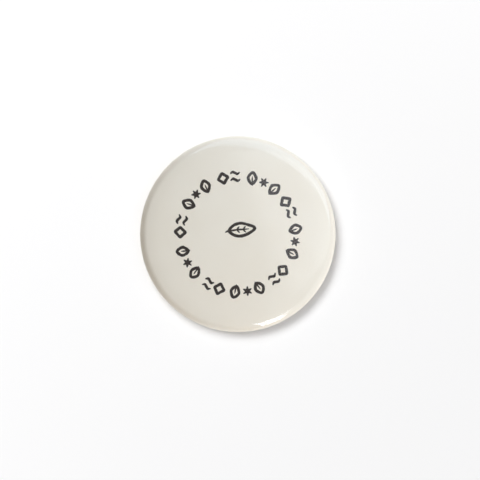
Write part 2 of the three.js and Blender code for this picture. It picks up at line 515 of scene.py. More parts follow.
@dataclass(frozen=True)
class CreamPaper:
    """Uncoated cream paper with a faint fibre, an uneven tone, and painted shade that darkens it in the folds
    gathered under the rim.
    """

    light: Colour = (0.865, 0.780, 0.658)
    # The darker paper tone, which also serves as painted shade in the folds under the rim.
    darker_tone_and_fold_shade: Colour = (0.825, 0.728, 0.598)
    fibre: float = 0.006
    fold: float = 0.05
    cloud_size: float = 14.0
    fibre_width: float = 0.35
    fibre_stretch: float = 0.35
    speck_size: float = 0.22

    def material(self) -> Finish:
        """Builds the paper."""
        shader = Shader("cream_printed_paper")
        cloud = shader.noise(self.cloud_size, 3.0, seed=1.0).step(0.3, 0.7)
        fibres = shader.noise(self.fibre_width, 4.0, shader.mapped((self.fibre_stretch, 1, 1), 0.3), 2.0)
        specks = shader.noise(self.speck_size, 0.0, seed=9.0).step(0.76, 0.8)
        folds = shader.gathers()
        # The paper's own uneven tone (cloud, fibres, specks) plus painted shade: the folds term darkens the
        # colour where the paper is gathered under the rim.
        uneven = cloud * 0.5 + (fibres - 0.5) * 0.35 + specks * 0.5 + folds * 0.6
        tone = shader.mix(uneven, self.light, self.darker_tone_and_fold_shade)
        normal = shader.bump(fibres, self.fibre, shader.bump(folds, -self.fold))
        roughness = 0.72 + 0.12 * fibres
        return shader.finished(
            shader.principled(Base_Color=tone, Roughness=roughness, Specular_IOR_Level=0.3, Normal=normal)
        )


@dataclass(frozen=True)
class BrownInk:
    """Warm brown-black ink, a little thin where the pen ran dry."""

    full: Colour = (0.030, 0.020, 0.016)
    thin: Colour = (0.085, 0.062, 0.050)
    dry_size: float = 0.8
    grain_size: float = 0.12
    relief: float = 0.004

    def material(self) -> Finish:
        """Builds the ink."""
        shader = Shader("brown_black_ink")
        dry = shader.noise(self.dry_size, 3.0, seed=3.0).step(0.5, 0.8)
        grain = shader.noise(self.grain_size, 2.0, seed=6.0)
        tone = shader.mix(dry * 0.7 + (grain - 0.5) * 0.4, self.full, self.thin)
        roughness = 0.5 + 0.2 * grain
        normal = shader.bump(grain, self.relief)
        return shader.finished(
            shader.principled(Base_Color=tone, Roughness=roughness, Specular_IOR_Level=0.35, Normal=normal)
        )


@dataclass(frozen=True)
class Tinplate:
    """Rolled tinplate: a fine grain one way, a faint spangle, and scratches from the press."""

    name: str
    tone: Colour = (0.74, 0.74, 0.73)
    shade: Colour = (0.60, 0.60, 0.585)
    roughness: float = 0.26
    grain_width: float = 0.09
    grain_scale: Point3 = (0.02, 1, 1)
    grain_turn: float = 0.15
    grain_depth: float = 0.0016
    spangle_size: float = 1.4
    dull_size: float = 9.0
    mark_depth: float = 0.002
    long_marks: Scratches = Scratches(7.0, 0.07, 0.9, 0.9, 2.0)
    short_marks: Scratches = Scratches(5.0, 0.05, -0.4, 0.8, 8.0)

    def material(self) -> Finish:
        """Builds the metal."""
        shader = Shader(self.name)
        grain = shader.noise(self.grain_width, 2.0, shader.mapped(self.grain_scale, self.grain_turn), 1.0)
        sockets = {"Vector": shader.place, "Scale": 1 / (self.spangle_size * MM)}
        spangle = shader.axes(shader.node("ShaderNodeTexVoronoi", sockets=sockets).outputs["Color"])[0]
        marks = shader.scratches(self.long_marks) + shader.scratches(self.short_marks)
        dull = shader.noise(self.dull_size, 4.0, seed=5.0).step(0.4, 0.7)
        tone = shader.mix(dull * 0.6 + spangle * 0.15 + marks * 0.3, self.tone, self.shade)
        roughness = self.roughness + 0.10 * dull + 0.05 * spangle + 0.08 * (grain - 0.5) + 0.12 * marks
        normal = shader.bump(marks, -self.mark_depth, shader.bump(grain, self.grain_depth))
        return shader.finished(
            shader.principled(Base_Color=tone, Metallic=1.0, Roughness=roughness, Normal=normal)
        )


@dataclass(frozen=True)
class Nickel:
    """Bright nickel plate over steel, with the grain of the drawn or folded metal under it."""

    name: str
    grain_scale: Point3 = (0.03, 1, 1)
    tone: Colour = (0.78, 0.775, 0.76)
    worn: Colour = (0.62, 0.60, 0.56)
    roughness: float = 0.15
    grain_width: float = 0.08
    grain_depth: float = 0.0008
    dull_size: float = 2.5
    mark_depth: float = 0.0012
    marks: Scratches = Scratches(2.5, 0.05, 1.1, 1.0, 4.0)

    def material(self) -> Finish:
        """Builds the plating."""
        shader = Shader(self.name)
        grain = shader.noise(self.grain_width, 2.0, shader.mapped(self.grain_scale), 3.0)
        dull = shader.noise(self.dull_size, 3.0, seed=6.0).step(0.45, 0.75)
        marks = shader.scratches(self.marks)
        tone = shader.mix(dull * 0.5 + marks * 0.4, self.tone, self.worn)
        roughness = self.roughness + 0.12 * dull + 0.10 * (grain - 0.5) + 0.15 * marks
        normal = shader.bump(marks, -self.mark_depth, shader.bump(grain, self.grain_depth))
        return shader.finished(
            shader.principled(Base_Color=tone, Metallic=1.0, Roughness=roughness, Normal=normal)
        )


@dataclass(frozen=True)
class WhiteTable:
    """A plain white sweep with painted light: it glows more with distance, so its far side melts into the
    white surround.
    """

    tone: Colour = (0.93, 0.93, 0.93)
    speck: Colour = (0.90, 0.90, 0.90)
    near: float = 50.0
    far: float = 700.0
    glow: float = 0.75

    def material(self) -> Finish:
        """Builds the surface."""
        shader = Shader("white_table")
        tone = shader.mix(shader.noise(0.6, 3.0) * 0.3, self.tone, self.speck)
        x, y, _ = shader.axes(shader.place)
        # Painted light: the emission rises from nothing near the badge to its full glow far away, so the far
        # table reads white.
        away = (x * x + y * y).root().step(self.near * MM, self.far * MM)
        glow = shader.mix(away, (0.0, 0.0, 0.0), (self.glow, self.glow, self.glow))
        matt = {"Roughness": 0.8, "Specular_IOR_Level": 0.1, "Emission_Strength": 1.0}
        return shader.finished(shader.principled(Base_Color=tone, Emission_Color=glow, **matt))


# ---------------------------------------------------------------- mesh tools


def new_object(name: str, mesh: Mesh) -> Piece:
    """Puts a mesh in the scene as an object at the origin, and gives both the same name."""
    mesh.name = name
    piece = bpy.data.objects.new(name, mesh)
    bpy.context.scene.collection.objects.link(piece)
    return piece


def arc(centre: Point2, radius: float, start: float, end: float, steps: int) -> list[Point2]:
    """Points on an arc.

    Args:
        centre: its centre.
        radius: its radius.
        start: the first point's angle in degrees.
        end: the last point's angle in degrees.
        steps: how many chords it has.

    Returns:
        The points, with both ends.
    """
    angles = [math.radians(start + (end - start) * i / steps) for i in range(steps + 1)]
    return [(centre[0] + radius * math.cos(a), centre[1] + radius * math.sin(a)) for a in angles]


def rounded(points: Sequence[Point2], radius: float, steps: int) -> list[Point2]:
    """Rounds the inner corners of an open line.

    Args:
        points: the line's corners.
        radius: how far from each corner its curve starts.
        steps: how many chords each corner gets.

    Returns:
        The rounded line.
    """
    line = [points[0]]
    for before, corner, after in zip(points, points[1:], points[2:]):
        middle = Vector(corner)
        back = Vector(before) - middle
        ahead = Vector(after) - middle
        first = middle + back.normalized() * min(radius, back.length / 2)
        last = middle + ahead.normalized() * min(radius, ahead.length / 2)
        for i in range(steps + 1):
            t = i / steps
            point = first * (1 - t) ** 2 + middle * (2 * t * (1 - t)) + last * t**2
            line.append((point.x, point.y))
    line.append(points[-1])
    return line


def turned(name: str, rows: Sequence[Sequence[Point2]], closed: bool) -> Mesh:
    """Turns a half section about Z.

    Args:
        name: the mesh's name.
        rows: the half section at each angle, all with the same number of points.
        closed: whether the section closes on itself; an open one starts, and may end, on the axis.

    Returns:
        The mesh, in metres, with its poles closed.
    """
    turns = len(rows)
    shape = bmesh.new()
    grid = []
    for i, row in enumerate(rows):
        c, s = math.cos(TURN * i / turns), math.sin(TURN * i / turns)
        grid.append([shape.verts.new((r * c * MM, r * s * MM, z * MM)) for r, z in row])
    count = len(rows[0])
    for i in range(turns):
        here, there = grid[i], grid[(i + 1) % turns]
        for j in range(count if closed else count - 1):
            k = (j + 1) % count
            shape.faces.new((here[j], there[j], there[k], here[k]))
    bmesh.ops.remove_doubles(shape, verts=shape.verts, dist=MERGE)
    bmesh.ops.dissolve_degenerate(shape, edges=shape.edges, dist=MERGE)
    bmesh.ops.recalc_face_normals(shape, faces=shape.faces)
    return to_mesh(name, shape)


def shaded(mesh: Mesh) -> Mesh:
    """Shades a mesh smooth, with sharp edges where it folds, and returns it."""
    mesh.polygons.foreach_set("use_smooth", [True] * len(mesh.polygons))
    mesh.set_sharp_from_angle(angle=SHARP_FOLD)
    return mesh


def to_mesh(name: str, shape: bmesh.types.BMesh) -> Mesh:
    """Turns a bmesh into a shaded mesh, and frees it."""
    mesh = bpy.data.meshes.new(name)
    shape.to_mesh(mesh)
    shape.free()
    return shaded(mesh)


def line_mesh(name: str, lines: Sequence["Line"]) -> Mesh:
    """Makes a mesh of loose edges for the stroke tree.

    Args:
        name: the mesh's name.
        lines: the strokes, in millimetres.

    Returns:
        The mesh, in metres, with a half_width on each point.
    """
    verts: list[Vector] = []
    edges: list[tuple[int, int]] = []
    widths: list[float] = []
    for line in lines:
        first = len(verts)
        verts += [Vector(point) * MM for point in line.points]
        widths += [width * MM for width in line.half_widths]
        edges += [(i, i + 1) for i in range(first, len(verts) - 1)]
        if line.closed:
            edges.append((len(verts) - 1, first))
    mesh = bpy.data.meshes.new(name)
    mesh.from_pydata(verts, edges, [])
    attribute = mesh.attributes.new("half_width", "FLOAT", "POINT")
    attribute.data.foreach_set("value", widths)
    return mesh


def applied(piece: Piece) -> Piece:
    """Turns a piece and its modifiers into its plain mesh, and returns the piece."""
    bpy.context.view_layer.update()
    evaluated = piece.evaluated_get(bpy.context.evaluated_depsgraph_get())
    mesh = bpy.data.meshes.new_from_object(evaluated)
    piece.modifiers.clear()
    piece.data = mesh
    mesh.name = piece.name
    return piece


def thicken(piece: Piece, thickness: float, offset: float = 0.0) -> None:
    """Gives a sheet its thickness in millimetres; at offset 0 the sheet is the middle of the metal."""
    wall = piece.modifiers.new("metal", "SOLIDIFY")
    wall.thickness = thickness * MM
    wall.offset = offset


def break_edges(piece: Piece, least_fold: float = 30.0) -> None:
    """Rounds a piece's edges that fold by more than an angle in degrees."""
    edge = piece.modifiers.new("broken_edge", "BEVEL")
    edge.width = BROKEN_EDGE * MM
    edge.segments = 2
    edge.angle_limit = math.radians(least_fold)


def dress(piece: Piece, material: Finish, body: Body, slot: Slot, *nodes: str) -> None:
    """Gives a finished piece its material and its place in the model.

    Args:
        piece: the object.
        material: its finish.
        body: the body that it moves with.
        slot: the record's material slot; it is not used.
        nodes: the CAD nodes that it stands for.
    """
    piece.data.materials.clear()
    piece.data.materials.append(material)
    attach(piece, body.value)
    if nodes:
        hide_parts(*nodes)
    LOG.info("%s: %d faces", piece.name, len(piece.data.polygons))


# ---------------------------------------------------------------- wrapped layers


@dataclass(frozen=True)
class Skin:
    """The badge's outer surface, and every layer that lies parallel under it."""

    radius: float
    height: float
    dome_radius: float = 230.0
    shoulder_start: float = 23.2
    shoulder_tilt: float = 13.0
    edge_roll: float = 2.95
    foot_roll: float = 1.4
    foot_width: float = 0.9
    lip_roll: float = 0.8
    dome_steps: int = 12
    shoulder_steps: int = 6
    edge_steps: int = 20
    foot_steps: int = 10
    lip_steps: int = 7

    def line(self, inset: float) -> list[Point2]:
        """The half section at an inset under the outer surface, from the face's middle to the lip."""
        dome = (0.0, self.height - self.dome_radius)
        start = math.asin(self.shoulder_start / self.dome_radius)
        end = math.radians(self.shoulder_tilt)
        edge_r = self.radius - self.edge_roll
        run = edge_r + self.edge_roll * math.sin(end) - self.shoulder_start
        shoulder_radius = run / (math.sin(end) - math.sin(start))
        shoulder = self._along(dome, self.dome_radius - shoulder_radius, start)
        edge = self._along(shoulder, shoulder_radius - self.edge_roll, end)
        foot = (self.radius - self.foot_roll, self.foot_roll)
        lip = (foot[0] - self.foot_width, self.lip_roll)
        first, second = 90 - math.degrees(start), 90 - self.shoulder_tilt
        return [
            *arc(dome, self.dome_radius - inset, 90, first, self.dome_steps),
            *arc(shoulder, shoulder_radius - inset, first, second, self.shoulder_steps)[1:],
            *arc(edge, self.edge_roll - inset, second, 0, self.edge_steps)[1:],
            *arc(foot, self.foot_roll - inset, 0, -90, self.foot_steps),
            *arc(lip, self.lip_roll - inset, -90, -180, self.lip_steps),
        ]

    @staticmethod
    def _along(centre: Point2, distance: float, tilt: float) -> Point2:
        """A point at a distance from another, in the direction that is tilted from straight up."""
        return (centre[0] + distance * math.sin(tilt), centre[1] + distance * math.cos(tilt))

    def tucked(self) -> list[float]:
        """How much each point of the half section lies in the tuck: 0 on the face and 1 at the lip."""
        lead = self.edge_steps // 4
        open_points = self.dome_steps + self.shoulder_steps + 1 + self.edge_steps - lead
        run = lead + self.foot_steps // 2
        tail = len(self.line(0)) - open_points
        return [0.0] * open_points + [min(1.0, (i + 1) / run) for i in range(tail)]


@dataclass(frozen=True)
class Pleats:
    """The small folds that paper and film take where they are gathered under the rim."""

    count: int = 64
    depth: float = 0.05
    seed: int = 11
    drift: float = 0.35
    widths: Point2 = (0.25, 0.5)
    heights: Point2 = (0.3, 1.0)

    def around(self, turns: int) -> list[float]:
        """How deep the folds are, from 0 to 1, at each of a number of even angles."""
        maker = random.Random(self.seed)
        folds = []
        for i in range(self.count):
            middle = (i + maker.uniform(-self.drift, self.drift)) / self.count
            folds.append((middle, maker.uniform(*self.widths) / self.count, maker.uniform(*self.heights)))
        return [sum(self._fold(i / turns, *fold) for fold in folds) for i in range(turns)]

    @staticmethod
    def _fold(place: float, middle: float, width: float, height: float) -> float:
        """One fold's depth at a place; places, middles and widths are shares of a turn."""
        distance = (place - middle + 0.5) % 1.0 - 0.5
        return height * math.exp(-((distance / width) ** 2))


@dataclass
class WrappedLayer:
    """Film, paper or shell: a thin skin with its outside at an inset from the badge's surface."""

    name: str
    skin: Skin
    inset: float
    thickness: float
    segments: int
    pleats: Pleats | None = None

    def build(self) -> Piece:
        """Builds the layer as one closed skin."""
        outside = self._sides(self.inset)
        inside = self._sides(self.inset + self.thickness)
        tucked = self.skin.tucked()
        folds = self.pleats.around(self.segments) if self.pleats else [0.0] * self.segments
        rows = []
        for fold in folds:
            upper = self._folded(*outside, tucked, fold)
            lower = self._folded(*inside, tucked, fold)
            rows.append(upper + lower[::-1])
        return new_object(self.name, turned(self.name, rows, closed=False))

    def _sides(self, inset: float) -> tuple[list[Point2], list[Point2]]:
        """A surface's section where it lies smooth and where it is folded deepest."""
        depth = self.pleats.depth if self.pleats else 0.0
        return self.skin.line(inset), self.skin.line(inset + depth)

    @staticmethod
    def _folded(smooth: list[Point2], deep: list[Point2], tucked: list[float], fold: float) -> list[Point2]:
        """Moves a section towards its folded shape, where it is tucked.

        Args:
            smooth: the section without folds.
            deep: the section at its deepest.
            tucked: how far each point takes part.
            fold: how deep the fold is at this angle.

        Returns:
            The section.
        """
        shares = [tuck * fold for tuck in tucked]
        return [
            (a[0] + (b[0] - a[0]) * share, a[1] + (b[1] - a[1]) * share)
            for a, b, share in zip(smooth, deep, shares)
        ]


# ---------------------------------------------------------------- printed marks


@dataclass(frozen=True)
class Line:
    """One stroke: its points and half its width at each of them."""

    points: list[Point3]
    half_widths: list[float]
    closed: bool = False


@dataclass(frozen=True)
class Pen:
    """Draws strokes in a mark's own plane, and sets them down on the face."""

    half_width: float
    place: Matrix
    tip: float = 0.35
    swell: float = 2.5

    def stroke(self, points: Sequence[Point2], weight: float = 1.0, closed: bool = False) -> Line:
        """Draws one stroke.

        Args:
            points: its points in the mark's plane.
            weight: its width as a share of the pen's.
            closed: whether it closes on itself.

        Returns:
            The stroke on the face, with rounded ends if it is open.
        """
        dense = self._dense(points, closed)
        last = len(dense) - 1
        widths = []
        for i in range(len(dense)):
            near_end = 1.0 if closed else min(1.0, self.tip + self.swell * min(i, last - i) / last)
            widths.append(self.half_width * weight * near_end)
        placed = [tuple(self.place @ Vector((x, y, 0))) for x, y in dense]
        return Line(placed, widths, closed)

    @staticmethod
    def _dense(points: Sequence[Point2], closed: bool, steps: int = 8) -> list[Point2]:
        """Runs a smooth curve through the points, with a number of steps from each to the next."""
        count = len(points)
        if count == 2 and not closed:
            (ax, ay), (bx, by) = points
            return [(ax + (bx - ax) * i / steps, ay + (by - ay) * i / steps) for i in range(steps + 1)]
        curve = []
        for i in range(count if closed else count - 1):
            near = [i - 1, i, i + 1, i + 2]
            picks = [points[k % count] if closed else points[min(max(k, 0), count - 1)] for k in near]
            for step in range(steps):
                curve.append(Pen._between(picks, step / steps))
        if not closed:
            curve.append(points[-1])
        return curve

    @staticmethod
    def _between(picks: Sequence[Point2], t: float) -> Point2:
        """A point on the curve between the second and third of four points."""
        weights = (
            -0.5 * t + t**2 - 0.5 * t**3,
            1 - 2.5 * t**2 + 1.5 * t**3,
            0.5 * t + 2 * t**2 - 1.5 * t**3,
            -0.5 * t**2 + 0.5 * t**3,
        )
        x, y = (sum(w * p[k] for w, p in zip(weights, picks)) for k in (0, 1))
        return x, y


@dataclass
class FacePrint:
    """The marks printed on the face: a ring of leaves, sparks, lozenges and ripples round a larger leaf."""

    skin: Skin
    inset: float
    ink: BrownInk = field(default_factory=BrownInk)
    ring_radius: float = 16.9
    groups: int = 5
    triple_at: float = 64.5
    double_at: float = 100.0
    pitch: float = 12.3
    stagger: float = 2.2
    leaf_size: Point2 = (3.15, 4.2)
    leaf_lean: float = 12.0
    spark_size: float = 3.7
    lozenge_size: Point2 = (3.8, 3.95)
    ripple_size: Point2 = (3.7, 2.0)
    stroke: float = 0.88
    vein: float = 0.5
    centre: Point2 = (0.6, 1.3)
    centre_size: Point2 = (9.6, 4.6)
    centre_tilt: float = 5.0
    bead: float = 0.05

    def build(self, tree: StrokeTree) -> list[Piece]:
        """Draws the ring and the middle mark with the tree that sweeps strokes."""
        ring = new_object("printed_ring", line_mesh("printed_ring", self._sector()))
        middle = new_object("printed_middle", line_mesh("printed_middle", self._middle_leaf()))
        tree.make(ring, self._inputs(self.groups, seed=2.0))
        tree.make(middle, self._inputs(1, seed=5.0))
        return [ring, middle]

    def dressed(self, tree: StrokeTree) -> None:
        """Builds the marks and gives them their ink."""
        material = self.ink.material()
        for piece in self.build(tree):
            dress(piece, material, Body.BADGE, Slot.PAPER)

    def _inputs(self, repeats: int, seed: float) -> dict[str, object]:
        """The stroke tree's inputs for ink that lies on the paper."""
        return {
            "Repeats": repeats,
            "Stagger": math.radians(self.stagger) if repeats > 1 else 0.0,
            "Point Spacing": 0.12 * MM,
            "Sides": 10,
            "Wobble": 0.11 * MM,
            "Unevenness": 0.30,
            "Seed": seed,
            "Flatness": self.bead,
            "Drape": 1.0,
            "Face Height": (self.skin.height - self.inset) * MM,
            "Dome Radius": (self.skin.dome_radius - self.inset) * MM,
        }

    def _pen(self, degrees: float, lean: float = 0.0) -> Pen:
        """A pen at an angle on the ring, with its up pointing outwards but for its lean, all in degrees."""
        out = Matrix.Rotation(math.radians(degrees - 90), 4, "Z")
        place = out @ Matrix.Translation((0, self.ring_radius, 0))
        return Pen(self.stroke / 2, place @ Matrix.Rotation(math.radians(lean), 4, "Z"))

    def _sector(self) -> list[Line]:
        """One repeat of the ring: a group of three marks and a group of two."""
        return [
            *self._leaf(self._pen(self.triple_at + self.pitch, self.leaf_lean)),
            *self._spark(self._pen(self.triple_at)),
            *self._leaf(self._pen(self.triple_at - self.pitch, -self.leaf_lean)),
            *self._lozenge(self._pen(self.double_at + self.pitch / 2)),
            *self._ripple(self._pen(self.double_at - self.pitch / 2)),
        ]

    def _inner(self, size: Point2) -> Point2:
        """Half the width and height of a mark's middle line, from its outer size."""
        return ((size[0] - self.stroke) / 2, (size[1] - self.stroke) / 2)

    def _leaf(self, pen: Pen) -> list[Line]:
        """A pointed leaf with a stem that runs into it."""
        w, h = self._inner(self.leaf_size)
        right = [(0, -h), (w * 0.85, -h * 0.4), (w, h * 0.2)]
        outline = [*right, (0.1, h), (-w, h * 0.25), (-w * 0.8, -h * 0.45)]
        stem = [(0.15, -h - 0.6), (0.05, -h * 0.6), (0, h * 0.35)]
        return [pen.stroke(outline, closed=True), pen.stroke(stem, self.vein)]

    def _spark(self, pen: Pen) -> list[Line]:
        """Three short strokes that cross."""
        reach = (self.spark_size - self.stroke) / 2
        turns = [math.radians(a) for a in (84, 24, -36)]
        ends = [(reach * math.cos(a), reach * math.sin(a)) for a in turns]
        return [pen.stroke([(-x, -y), (x, y)], 0.85) for x, y in ends]

    def _lozenge(self, pen: Pen) -> list[Line]:
        """A four-sided outline."""
        w, h = self._inner(self.lozenge_size)
        corners = [(0, -h), (w, 0), (0.08, h), (-w, -0.06)]
        sides = []
        for (ax, ay), (bx, by) in zip(corners, corners[1:] + corners[:1]):
            sides += [(ax * (1 - t) + bx * t, ay * (1 - t) + by * t) for t in (0.08, 0.5, 0.92)]
        return [pen.stroke(sides, closed=True)]

    def _ripple(self, pen: Pen) -> list[Line]:
        """Two short waves, one above the other."""
        w, rise = (self.ripple_size[0] - self.stroke) / 2, self.ripple_size[1] / 2
        wave = [(-w, -0.2), (-w * 0.5, 0.32), (0, 0), (w * 0.5, -0.32), (w, 0.2)]
        return [pen.stroke([(x, y + lift) for x, y in wave], 0.95) for lift in (-rise, rise)]

    def _middle_leaf(self) -> list[Line]:
        """The leaf in the middle of the face, lying on its side, with its veins."""
        w, h = self._inner(self.centre_size)
        tilt = Matrix.Rotation(math.radians(self.centre_tilt), 4, "Z")
        pen = Pen(self.stroke / 2, Matrix.Translation((*self.centre, 0)) @ tilt)
        upper = [(-w * 0.72, 0), (-w * 0.42, h * 0.72), (w * 0.1, h), (w * 0.62, h * 0.62), (w, 0.1)]
        lower = [(w * 0.64, -h * 0.62), (w * 0.1, -h), (-w * 0.4, -h * 0.78)]
        veins = []
        for i in range(2):
            root = w * (0.42 * i - 0.22)
            for side in (-1, 1):
                veins.append(pen.stroke([(root, 0), (root + w * 0.2, side * h * 0.5)], self.vein))
        return [
            pen.stroke(upper + lower, closed=True),
            pen.stroke([(-w, -h * 0.25), (-w * 0.6, -0.02), (w * 0.62, 0.02)], self.vein * 1.3),
            *veins,
        ]


# ---------------------------------------------------------------- back plate


@dataclass
class BackPlate:
    """The pressed plate that closes the badge, with the two hooks lanced out of its floor."""

    name: str = "pressed_back_plate"
    metal: float = 0.28
    flange_radius: float = 27.9
    flange_under: float = 0.95
    wall_foot: float = 25.2
    recess_radius: float = 23.4
    floor_under: float = 3.6
    bead_radius: float = 20.4
    bead_width: float = 2.2
    bead_rise: float = 0.45
    leg_y: float = 2.0
    leg_z: float = 2.15
    hook_bore: float = 0.7
    hook_width: float = 3.0
    hook_spacing: float = 13.0
    hook_tip: float = 0.4
    hook_bend: float = 0.45
    hook_narrowing: float = 0.18
    bend: float = 0.7
    window: Point2 = (3.6, 4.4)
    window_corner: float = 0.4
    segments: int = 192

    def build(self) -> Piece:
        """Builds the plate with its windows and hooks."""
        plate = new_object(self.name, turned(self.name, [self._line()] * self.segments, closed=False))
        thicken(plate, self.metal)
        cutters = self._window_cutters()
        cut = plate.modifiers.new("windows", "BOOLEAN")
        cut.object = cutters
        cut.solver = "EXACT"
        shaded(applied(plate).data)
        bpy.data.objects.remove(cutters)
        self._add_hooks(plate)
        return plate

    def _line(self) -> list[Point2]:
        """The middle of the metal, from the plate's centre to its flange."""
        floor = self.floor_under + self.metal / 2
        flange = self.flange_under + self.metal / 2
        corners = [
            (self.bead_radius - self.bead_width, floor),
            (self.bead_radius - self.bead_width / 2, floor),
            (self.bead_radius, floor + self.bead_rise),
            (self.bead_radius + self.bead_width / 2, floor),
            (self.recess_radius, floor),
            (self.wall_foot, flange),
            (self.flange_radius, flange),
        ]
        return [(0, floor), *rounded(corners, self.bend, 6)]

    def _window_cutters(self) -> Piece:
        """Blocks with rounded corners where the hooks were lanced."""
        shape = bmesh.new()
        width, length = self.window
        top = self.leg_y + self.hook_bore
        for side in (-1, 1):
            size = Matrix.Diagonal((width * MM, length * MM, 4 * self.metal * MM, 1))
            spot = (side * self.hook_spacing / 2, top - length / 2, self.floor_under + self.metal / 2)
            block = bmesh.ops.create_cube(shape, size=1, matrix=Matrix.Translation(Vector(spot) * MM) @ size)
            edges = {edge for vert in block["verts"] for edge in vert.link_edges}
            upright = [e for e in edges if abs((e.verts[0].co - e.verts[1].co).normalized().z) > 0.9]
            round_corner = {"offset": self.window_corner * MM, "segments": 5, "profile": 0.5}
            bmesh.ops.bevel(shape, geom=upright, affect="EDGES", **round_corner)
        return new_object("window_cutters", to_mesh("window_cutters", shape))

    def _hook_line(self) -> list[Point2]:
        """The middle of a hook's metal, in the Y-Z plane, from the plate round the pin's leg."""
        radius = self.hook_bore + self.metal / 2
        floor = self.floor_under + self.metal / 2
        bend = self.hook_bend
        root = arc((self.leg_y + radius + bend, floor - bend), bend, 90, 180, 6)
        under = arc((self.leg_y, self.leg_z), radius, 0, -180, 18)
        return [*root, *under, (self.leg_y - radius, self.leg_z + self.hook_tip)]

    def _add_hooks(self, plate: Piece) -> None:
        """Bends both hooks and joins them to the plate's object."""
        strip = bmesh.new()
        line = self._hook_line()
        for side in (-1, 1):
            middle = side * self.hook_spacing / 2
            rows = []
            for i, (y, z) in enumerate(line):
                narrower = max(0, i - len(line) + 3) * self.hook_narrowing
                half = self.hook_width / 2 - narrower
                across = [middle + half * t for t in (-1, -0.5, 0, 0.5, 1)]
                rows.append([strip.verts.new(Vector((x, y, z)) * MM) for x in across])
            for a, b in zip(rows, rows[1:]):
                for k in range(4):
                    strip.faces.new((a[k], a[k + 1], b[k + 1], b[k]))
        hooks = new_object("plate_hooks", to_mesh("plate_hooks", strip))
        thicken(hooks, self.metal)
        break_edges(hooks)
        shaded(applied(hooks).data)
        both = bmesh.new()
        both.from_mesh(plate.data)
        both.from_mesh(hooks.data)
        plate.data = to_mesh(plate.name, both)
        bpy.data.objects.remove(hooks)


# ---------------------------------------------------------------- safety pin


@dataclass
class SafetyPin:
    """The safety pin: one wire with a coil and a ground point, and its folded cap."""

    wire: float = 0.45
    coil_radius: float = 2.0
    coil_x: float = 14.0
    leg_z: float = 2.15
    arm_z: float = 1.15
    leg_end: float = -15.6
    arm_end: float = -16.0
    point_length: float = 4.0
    point_tip: float = 0.03
    point_curve: float = 1.6
    point_steps: int = 12
    coil_step: float = 7.5

    def _coil(self, start: float, end: float) -> list[Point3]:
        """Part of the coil, from one number of degrees round it from the leg to another.

        The coil drops from the leg's height to the arm's over the second half of its first turn.
        """
        count = round((end - start) / self.coil_step)
        points = []
        for i in range(count + 1):
            along = start + (end - start) * i / count
            t = min(1.0, max(0.0, (along - 180) / 180))
            z = self.leg_z + (self.arm_z - self.leg_z) * (3 * t**2 - 2 * t**3)
            angle = math.radians(90 - along)
            x, y = self.coil_radius * math.cos(angle), self.coil_radius * math.sin(angle)
            points.append((self.coil_x + x, y, z))
        return points

    def leg(self, tree: StrokeTree) -> Piece:
        """The fixed leg and the coil's first three quarters of a turn."""
        straight = [(self.leg_end, self.coil_radius, self.leg_z), (0.0, self.coil_radius, self.leg_z)]
        points = straight + self._coil(0, 270)
        return self._wire("pin_leg_and_coil", points, [self.wire] * len(points), tree)

    def arm(self, tree: StrokeTree) -> Piece:
        """The rest of the coil and the arm with its point."""
        coil = self._coil(270, 540)
        shank = self.arm_end + self.point_length
        points = coil + [(0.0, -self.coil_radius, self.arm_z)]
        widths = [self.wire] * len(points)
        for i in range(self.point_steps + 1):
            t = i / self.point_steps
            points.append((shank - self.point_length * t, -self.coil_radius, self.arm_z))
            full = math.sqrt(max(0.0, 1 - t**self.point_curve))
            widths.append(self.point_tip + (self.wire - self.point_tip) * full)
        return self._wire("pin_arm_and_point", points, widths, tree)

    @staticmethod
    def _wire(name: str, points: list[Point3], widths: list[float], tree: StrokeTree) -> Piece:
        """Sweeps a wire along its middle line, with its radius at each point."""
        piece = new_object(name, line_mesh(name, [Line(points, widths)]))
        values = {
            "Repeats": 1,
            "Stagger": 0.0,
            "Point Spacing": 0.15 * MM,
            "Sides": 20,
            "Wobble": 0.0,
            "Unevenness": 0.0,
            "Seed": 1.0,
            "Flatness": 1.0,
            "Drape": 0.0,
            "Face Height": 0.0,
            "Dome Radius": 1.0,
        }
        return tree.make(piece, values)


